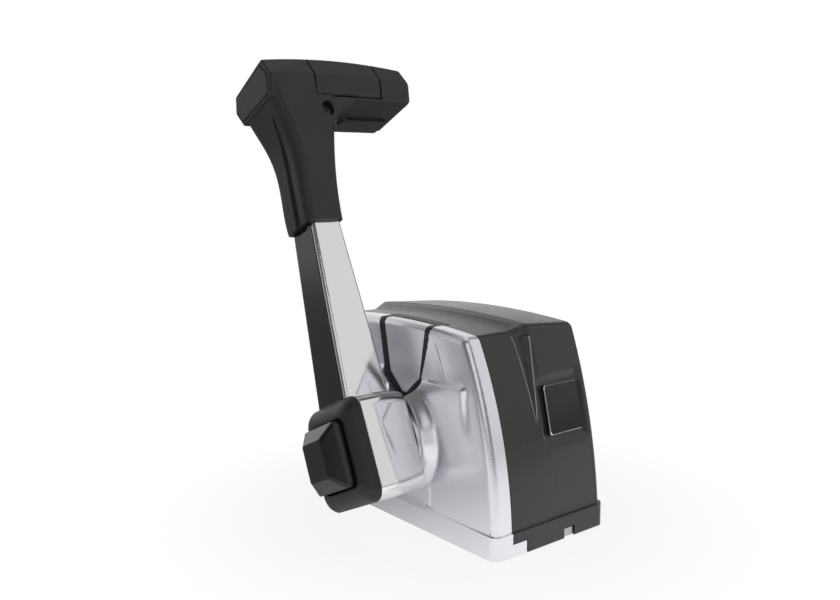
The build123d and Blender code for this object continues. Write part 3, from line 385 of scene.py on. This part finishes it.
side_foot_x, side_draft = -47.5, tan(radians(1.1))      # mm at the deck, and mm in for each mm up
seat_x, seat_half, seat_corner = -53.6, (27.5, 27.0), 24.0      # mm: the flat seat of the hub
hub_z, hub_tilt = 56.0, (0.979, 0.203)      # mm, and the cosine and sine of the seat's lean
swell_rise, facet_rise, facet_width, bead_rise, tab_rise = 1.9, 1.7, 15.0, 0.22, 0.6    # mm
line_y, line_z, line_across = -30.5, 120.3, (0.91, -0.414)      # mm: top of the facet's line, and its normal


def cover_side(y, z):
    """Where the cover's side face stands, in mm, at a place on it in mm."""
    wall = side_foot_x + z * side_draft
    height = swell_rise * ease(z, 99.5, 95.5) * ease(z, 50.0, 92.0)
    slack = max(90.0 - z, 0.0)
    swell = height * ease(abs(y), 60.5 + 0.3 * slack, 56.5 - 0.1 * slack)
    facet = bead = 0.0
    if y < 0:
        past_line = line_across[0] * (y - line_y) + line_across[1] * (z - line_z)
        facet = max(facet_rise * past_line / facet_width * (1 - ease(z, 96.0, 124.0)), 0.0) * ease(z, 94.0, 97.5)
        bead = bead_rise * ease(abs(past_line), 0.75, 0.1) * ease(z, 97.0, 98.5) * ease(z, 121.0, 119.5)
    face = wall - max(swell, facet) - bead
    lean_y = y * hub_tilt[0] - (z - hub_z) * hub_tilt[1]
    lean_z = y * hub_tilt[1] + (z - hub_z) * hub_tilt[0]
    face += (seat_x - face) * ease(box_gap(lean_y, lean_z, *seat_half, seat_corner), 8.0, -1.0)
    tab = 1 - ease(box_gap(y, z - 9.0, 28.0, 24.0, 6.0), -0.3, 0.5)
    return min(face, wall - tab_rise * tab)


skin = lift("side_cover")
wall_skin, swell_foot = 0.00002, 0.01495    # m: how near the wall its faces lie, and where they start
swelling = [face for face in skin.faces if face.normal.x < -0.3
            and all(vert.co.x < side_foot_x / 1000 + wall_skin + vert.co.z * side_draft and vert.co.z > swell_foot
                    for vert in face.verts)]
coarse, fine, lowest_row, lowest_coarse_row = 0.0016, 0.0008, 0.0155, 0.0991    # m
cuts = [((0, step * coarse, 0), (0, 1, 0)) for step in range(-52, 53)]
cuts += [((0, step * coarse + fine, 0), (0, 1, 0)) for step in range(-28, 29)]
cuts += [((0, 0, lowest_row + step * fine), (0, 0, 1)) for step in range(104)]
cuts += [((0, 0, lowest_coarse_row + step * coarse), (0, 0, 1)) for step in range(16)]
for off in (-0.0008, -0.0004, 0, 0.0004, 0.0008):
    cuts.append(((0, line_y / 1000 + off, line_z / 1000), (0, *line_across)))
swelling = slice_up(skin, swelling, cuts)
bmesh.ops.remove_doubles(skin, dist=0.0002, verts=list(dict.fromkeys(
    vert for face in swelling for vert in face.verts)))
for vert in dict.fromkeys(vert for face in swelling if face.is_valid for vert in face.verts):
    vert.co.x = cover_side(vert.co.y * 1000, vert.co.z * 1000) / 1000
settle("side_cover_skin", skin, silver_paint, "housing", "side_cover")

# ---- bezel ----
# Matt black moulding that frames the access panel in the silver cover. The flange at its top laps a shallow
# seat in the far cover's ledge.
trim_black = Finish("trim_black", IOR=1.48)
trim_black.feed(trim_black.shader.inputs["Base Color"], trim_black.blend(
    trim_black.edge(0.0008), (0.012, 0.012, 0.013, 1), (0.03, 0.03, 0.031, 1)))
trim_black.feed(trim_black.shader.inputs["Roughness"], trim_black.grain(200, 3) * 0.15 + 0.36)
trim_black.relief(trim_black.grain(2200, 2), 0.00004, 0.0006)
dress(trim_black, "access_bezel")

# ---- badge plate ----
# Bare square plate of black anodised aluminium under lacquer, its bevel cut bright afterwards. It is stuck
# in its recess with adhesive.
anodised = Finish("black_anodised", IOR=1.49)
square_on = anodised.node("ShaderNodeVectorMath", {"operation": "DOT_PRODUCT"}, {
    0: anodised.node("ShaderNodeTexCoord", {}, {}, out="Normal"), 1: (0, -0.974, 0.227)}, out="Value")
bevel = anodised.spread(square_on, 0.95, 0.85, 0.0, 1.0) * anodised.spread(square_on, 0.1, 0.3, 0.0, 1.0)
anodised.feed(anodised.shader.inputs["Base Color"], anodised.blend(
    bevel, (0.012, 0.012, 0.013, 1), (0.8, 0.8, 0.82, 1)))
anodised.feed(anodised.shader.inputs["Metallic"], bevel)
anodised.feed(anodised.shader.inputs["Roughness"], anodised.grain(90, 4) * 0.1 + 0.12)
anodised.relief(anodised.grain(300, 2), 0.000005)
dress(anodised, "badge_plate")

# ---- cast frame ----
# Aluminium die casting that carries the shaft and bolts to the deck, blasted and left bare. The drive arm and
# the detent wheel on the shaft are cast and finished alike.
cast_metal = Finish("cast_aluminium", Metallic=1.0)
cast_metal.feed(cast_metal.shader.inputs["Base Color"], cast_metal.blend(
    cast_metal.grain(40, 4), (0.46, 0.46, 0.47, 1), (0.62, 0.62, 0.63, 1)))
cast_metal.feed(cast_metal.shader.inputs["Roughness"], cast_metal.grain(300, 3) * 0.2 + 0.38)
cast_metal.relief(cast_metal.grain(1400, 4), 0.00006, 0.0008)
dress(cast_metal, "base_frame", "drive_arm", "detent_wheel")

# ---- gasket ----
# Sheet of closed-cell rubber, die cut, that seals the frame to the deck. The shoe of the friction brake is
# cut from the same rubber.
rubber = Finish("gasket_rubber", IOR=1.5)
rubber.feed(rubber.shader.inputs["Base Color"], rubber.blend(
    rubber.grain(120, 4), (0.018, 0.018, 0.018, 1), (0.035, 0.034, 0.033, 1)))
rubber.feed(rubber.shader.inputs["Roughness"], rubber.grain(500, 3) * 0.15 + 0.7)
rubber.relief(rubber.grain(1800, 3), 0.00008, 0.0005)
dress(rubber, "base_gasket", "friction_shoe")

# ---- bushes ----
# The shaft's two flanged bushes, of sintered bronze with oil dark in the pores. They are pressed in the
# frame's bearing walls.
bronze = Finish("sintered_bronze", Metallic=1.0)
bronze.feed(bronze.shader.inputs["Base Color"], bronze.blend(
    bronze.grain(900, 4), (0.35, 0.2, 0.09, 1), (0.6, 0.38, 0.17, 1)))
bronze.feed(bronze.shader.inputs["Roughness"], bronze.grain(400, 3) * 0.2 + 0.3)
bronze.relief(bronze.grain(3000, 3), 0.00002, 0.0004)
dress(bronze, "near_bush", "far_bush")

# ---- steel running parts ----
# Turned and ground stainless: shaft, drum, pin, roller, screws, rod, clip and springs. They are fitted from
# the sides before the covers go on.
bright_steel = Finish("ground_stainless", Metallic=1.0)
bright_steel.feed(bright_steel.shader.inputs["Base Color"], bright_steel.blend(
    bright_steel.grain(60, 3), (0.52, 0.52, 0.53, 1), (0.66, 0.66, 0.67, 1)))
bright_steel.feed(bright_steel.shader.inputs["Roughness"], bright_steel.grain(240, 4) * 0.15 + 0.2)
bright_steel.relief(bright_steel.grain(3200, 2), 0.00001, 0.0004)
dress(bright_steel, "main_shaft", "friction_drum", "cable_pin", "detent_roller", "detent_spring", "friction_screw",
      "hub_screw", "shaft_circlip", "lock_rod")
# the button's spring stands on its seat in the hub, with a mesh of its own; the real spring closes up as the button
# is pressed
coil = settle("button_spring_coil", lift("button_spring"), bright_steel, "lever", "button_spring")
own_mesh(coil)

# ---- grip screw ----
# Hardened steel screw, blacked in hot oil, sunk in a well of the grip. It holds the grip on the arm's
# tongue.
black_steel = Finish("oil_blacked_steel", Metallic=1.0)
black_steel.feed(black_steel.shader.inputs["Base Color"], black_steel.blend(
    black_steel.edge(0.0006) * 0.7 + black_steel.grain(80, 3) * 0.3, (0.03, 0.03, 0.032, 1), (0.2, 0.2, 0.2, 1)))
black_steel.feed(black_steel.shader.inputs["Roughness"], black_steel.grain(320, 3) * 0.2 + 0.32)
black_steel.relief(black_steel.grain(1500, 3), 0.00002, 0.0004)
dress(black_steel, "grip_screw")

# ---- lever arm ----
# Zinc die casting, polished and chromed, with its hub in one piece. A clamp screw through the hub holds it on
# the shaft.
chrome = Finish("polished_chrome", Metallic=1.0, Specular_IOR_Level=0.5)
smear = chrome.grain(70, 5, 0.6)
chrome.feed(chrome.shader.inputs["Base Color"], chrome.blend(smear, (0.80, 0.81, 0.82, 1), (0.86, 0.87, 0.88, 1)))
inward = chrome.node("ShaderNodeSeparateXYZ", {}, {"Vector": chrome.place()}, out="X")
chrome.feed(chrome.shader.inputs["Roughness"],
            chrome.spread(smear, 0.4, 0.75, 0.03, 0.08) + chrome.spread(inward, -0.084, -0.062, 0.0, 0.12))
chrome.relief(chrome.grain(24, 2), 0.00002, 0.001)
dress(chrome, "lever_arm")

# ---- arm insert ----
# Strip of gloss black acrylic, moulded to the arm's taper and bonded in the recess of its outer face.
# It shows fine grease marks.
gloss_black = Finish("gloss_acrylic", IOR=1.49)
gloss_black.feed(gloss_black.shader.inputs["Base Color"], gloss_black.blend(
    gloss_black.edge(0.0006), (0.008, 0.008, 0.009, 1), (0.03, 0.03, 0.032, 1)))
gloss_black.feed(gloss_black.shader.inputs["Roughness"], gloss_black.grain(90, 4) * 0.1 + 0.12)
gloss_black.relief(gloss_black.grain(300, 2), 0.000005, 0.0004)
dress(gloss_black, "arm_insert")

# ---- hub cap ----
# Crowned cap of black nylon, moulded with a coarse grain. It snaps on the hub round the button.
# Its rim is worn paler by hands.
grained_black = Finish("grained_nylon", IOR=1.5)
grained_black.feed(grained_black.shader.inputs["Base Color"], grained_black.blend(
    grained_black.edge(0.001) * 0.7 + grained_black.grain(30, 3) * 0.3, (0.016, 0.016, 0.017, 1),
    (0.05, 0.05, 0.052, 1)))
grained_black.feed(grained_black.shader.inputs["Roughness"], grained_black.grain(220, 3) * 0.16 + 0.38)
grained_black.relief(grained_black.grain(1500, 3), 0.00012, 0.0008)
dress(grained_black, "hub_cap")

# ---- throttle-only button ----
# Four-sided button of gloss black acrylic in the middle of the cap. It slides in against its spring to
# leave the gears out.
dress(gloss_black, "throttle_button")

# ---- grip ----
# Neck and crossbar moulded in black nylon under a thin soft-touch skin, with an end panel and a face panel
# snapped in and the lock's finger bar below.
soft_black = Finish("soft_touch_black", IOR=1.46)
soft_black.feed(soft_black.shader.inputs["Base Color"], soft_black.blend(
    soft_black.edge(0.0015) * 0.6 + soft_black.grain(25, 3) * 0.4, (0.02, 0.0195, 0.021, 1),
    (0.052, 0.05, 0.053, 1)))
soft_black.feed(soft_black.shader.inputs["Roughness"], soft_black.grain(130, 4) * 0.14 + 0.42)
soft_black.relief(soft_black.grain(2400, 3), 0.00006, 0.0012)
dress(soft_black, "grip_body", "grip_end_panel", "lock_trigger")
# the face panel is trimmed to leave a clear gap at both sides and below, measured along the lever's lean
panel = lift("grip_face_panel")
lever_lean, side_gap, foot_gap = radians(25), 0.0007, 0.0006    # m for the gaps
up_lever = Vector((0, sin(lever_lean), cos(lever_lean)))
rows = [vert.co.dot(up_lever) for vert in panel.verts]
sides = [vert.co.x for vert in panel.verts]
middle_x, half_x = (min(sides) + max(sides)) / 2, (max(sides) - min(sides)) / 2
for vert in panel.verts:
    gap_share = (max(rows) - vert.co.dot(up_lever)) / (max(rows) - min(rows))
    vert.co += up_lever * foot_gap * gap_share ** 2
    vert.co.x -= (vert.co.x - middle_x) / half_x * side_gap
settle("grip_face_inlay", panel, soft_black, "lever", "grip_face_panel")
